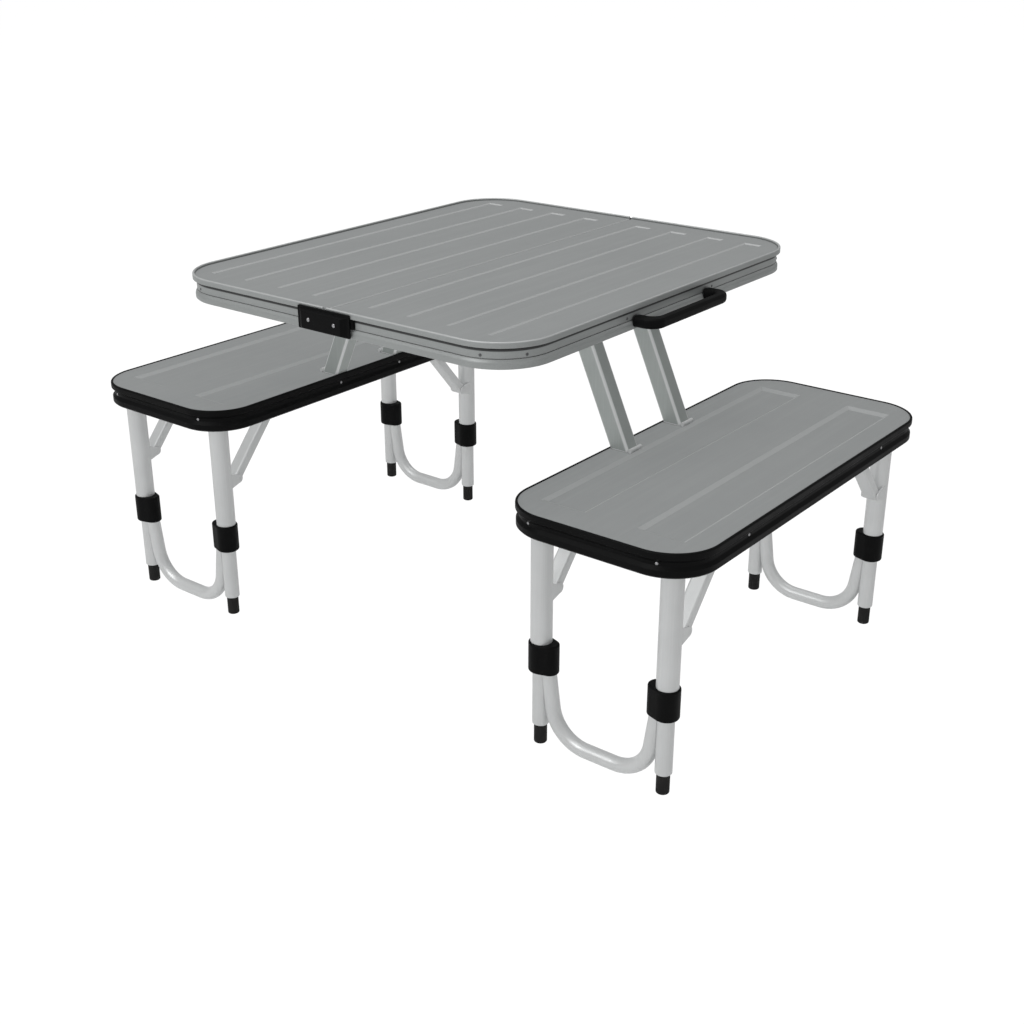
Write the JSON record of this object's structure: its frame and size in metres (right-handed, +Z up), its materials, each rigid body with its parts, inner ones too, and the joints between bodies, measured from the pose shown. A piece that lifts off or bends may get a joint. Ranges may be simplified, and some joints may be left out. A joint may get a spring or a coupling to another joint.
{
  "type": "folding picnic table with benches",
  "caption": "Portable picnic table with a two-part folding top on leaning struts over attached benches that stand on braced folding legs with adjustable feet.",
  "frame": {"origin": "on the ground under the middle of the table top", "axes": "+X from the left bench to the right bench (the handle side), +Y along the folding seam towards the back, +Z up"},
  "size_m": [1.2906, 0.8612, 0.6653],
  "materials": {
    "sheet": "matte grey textured sheet",
    "aluminium": "satin",
    "tube": "satin",
    "black_plastic": "matte, lightly grained",
    "rivet": "satin domed heads",
    "dark_rivet": "dull domed heads",
    "steel": "satin",
    "rubber": "matte"
  },
  "bodies": {
    "seam_hinges": {"hinge_block_front": "black_plastic", "hinge_block_back": "black_plastic", "hinge_pins": "steel"},
    "right_half": {"table_top_right": "sheet", "table_rim_right": "aluminium", "seam_rail_right": "aluminium", "rim_rivets_right": "dark_rivet", "hinge_plugs_right": "black_plastic", "strut_channels_right": "aluminium", "strut_pivot_pins_right": "steel", "handle": "black_plastic"},
    "right_struts": {"struts_right": "tube", "strut_fittings_right": "tube"},
    "right_bench": {"bench_top_right": "sheet", "bench_rim_right": "black_plastic", "bench_rivets_right": "rivet", "brace_guides_right": "steel", "leg_brackets_right": "steel", "leg_pivot_pins_right": "steel", "strut_base_hinges_right": "tube"},
    "right_front_legs": {"upper_legs_right_front": "tube", "leg_collars_right_front": "black_plastic", "leg_stretcher_right_front": "tube"},
    "right_front_braces": {"braces_right_front": "tube"},
    "right_front_lower_legs": {"lower_legs_right_front": "tube", "feet_right_front": "rubber"},
    "right_back_legs": {"upper_legs_right_back": "tube", "leg_collars_right_back": "black_plastic", "leg_stretcher_right_back": "tube"},
    "right_back_braces": {"braces_right_back": "tube"},
    "right_back_lower_legs": {"lower_legs_right_back": "tube", "feet_right_back": "rubber"},
    "left_half": {"table_top_left": "sheet", "table_rim_left": "aluminium", "seam_rail_left": "aluminium", "rim_rivets_left": "dark_rivet", "hinge_plugs_left": "black_plastic", "strut_channels_left": "aluminium", "strut_pivot_pins_left": "steel"},
    "left_struts": {"struts_left": "tube", "strut_fittings_left": "tube"},
    "left_bench": {"bench_top_left": "sheet", "bench_rim_left": "black_plastic", "bench_rivets_left": "rivet", "brace_guides_left": "steel", "leg_brackets_left": "steel", "leg_pivot_pins_left": "steel", "strut_base_hinges_left": "tube"},
    "left_front_legs": {"upper_legs_left_front": "tube", "leg_collars_left_front": "black_plastic", "leg_stretcher_left_front": "tube"},
    "left_front_braces": {"braces_left_front": "tube"},
    "left_front_lower_legs": {"lower_legs_left_front": "tube", "feet_left_front": "rubber"},
    "left_back_legs": {"upper_legs_left_back": "tube", "leg_collars_left_back": "black_plastic", "leg_stretcher_left_back": "tube"},
    "left_back_braces": {"braces_left_back": "tube"},
    "left_back_lower_legs": {"lower_legs_left_back": "tube", "feet_left_back": "rubber"}
  },
  "joints": [
    {"name": "right_half_fold", "type": "hinge", "parent": "seam_hinges", "child": "right_half", "pos_m": [0.0275, 0, 0.651], "axis": [0, -1, 0], "range_deg": [0, 90]},
    {"name": "right_strut_fold", "type": "hinge", "parent": "right_half", "child": "right_struts", "pos_m": [0.2695, 0, 0.609], "axis": [0, 1, 0], "range_deg": [0, 111.9]},
    {"name": "right_bench_level", "type": "hinge", "parent": "right_struts", "child": "right_bench", "pos_m": [0.3486, 0, 0.4155], "axis": [0, 1, 0], "range_deg": [-111.9, 0]},
    {"name": "right_front_leg_fold", "type": "hinge", "parent": "right_bench", "child": "right_front_legs", "pos_m": [0.4756, -0.3457, 0.388], "axis": [1, 0, 0], "range_deg": [0, 82]},
    {"name": "right_front_brace_fold", "type": "hinge", "parent": "right_front_legs", "child": "right_front_braces", "pos_m": [0.4756, -0.319, 0.266], "axis": [1, 0, 0], "range_deg": [-134.38, 0]},
    {"name": "right_front_leg_length", "type": "slide", "parent": "right_front_legs", "child": "right_front_lower_legs", "axis": [0, 0, -1], "range_m": [0, 0.04]},
    {"name": "right_back_leg_fold", "type": "hinge", "parent": "right_bench", "child": "right_back_legs", "pos_m": [0.4756, 0.3457, 0.388], "axis": [-1, 0, 0], "range_deg": [0, 71.5]},
    {"name": "right_back_brace_fold", "type": "hinge", "parent": "right_back_legs", "child": "right_back_braces", "pos_m": [0.4756, 0.319, 0.266], "axis": [-1, 0, 0], "range_deg": [-115.77, 0]},
    {"name": "right_back_leg_length", "type": "slide", "parent": "right_back_legs", "child": "right_back_lower_legs", "axis": [0, 0, -1], "range_m": [0, 0.04]},
    {"name": "left_half_fold", "type": "hinge", "parent": "seam_hinges", "child": "left_half", "pos_m": [-0.0275, 0, 0.651], "axis": [0, 1, 0], "range_deg": [0, 90]},
    {"name": "left_strut_fold", "type": "hinge", "parent": "left_half", "child": "left_struts", "pos_m": [-0.2695, 0, 0.609], "axis": [0, -1, 0], "range_deg": [0, 111.9]},
    {"name": "left_bench_level", "type": "hinge", "parent": "left_struts", "child": "left_bench", "pos_m": [-0.3486, 0, 0.4155], "axis": [0, -1, 0], "range_deg": [-111.9, 0]},
    {"name": "left_front_leg_fold", "type": "hinge", "parent": "left_bench", "child": "left_front_legs", "pos_m": [-0.4756, -0.3457, 0.388], "axis": [1, 0, 0], "range_deg": [0, 82]},
    {"name": "left_front_brace_fold", "type": "hinge", "parent": "left_front_legs", "child": "left_front_braces", "pos_m": [-0.4756, -0.319, 0.266], "axis": [1, 0, 0], "range_deg": [-134.38, 0]},
    {"name": "left_front_leg_length", "type": "slide", "parent": "left_front_legs", "child": "left_front_lower_legs", "axis": [0, 0, -1], "range_m": [0, 0.04]},
    {"name": "left_back_leg_fold", "type": "hinge", "parent": "left_bench", "child": "left_back_legs", "pos_m": [-0.4756, 0.3457, 0.388], "axis": [-1, 0, 0], "range_deg": [0, 71.5]},
    {"name": "left_back_brace_fold", "type": "hinge", "parent": "left_back_legs", "child": "left_back_braces", "pos_m": [-0.4756, 0.319, 0.266], "axis": [-1, 0, 0], "range_deg": [-115.77, 0]},
    {"name": "left_back_leg_length", "type": "slide", "parent": "left_back_legs", "child": "left_back_lower_legs", "axis": [0, 0, -1], "range_m": [0, 0.04]}
  ],
  "couplings": [
    {"joint": "right_bench_level", "follows": "right_strut_fold", "ratio": -1},
    {"joint": "right_front_brace_fold", "follows": "right_front_leg_fold", "ratio": -1.6387},
    {"joint": "right_back_brace_fold", "follows": "right_back_leg_fold", "ratio": -1.619},
    {"joint": "left_bench_level", "follows": "left_strut_fold", "ratio": -1},
    {"joint": "left_front_brace_fold", "follows": "left_front_leg_fold", "ratio": -1.6387},
    {"joint": "left_back_brace_fold", "follows": "left_back_leg_fold", "ratio": -1.619}
  ]
}
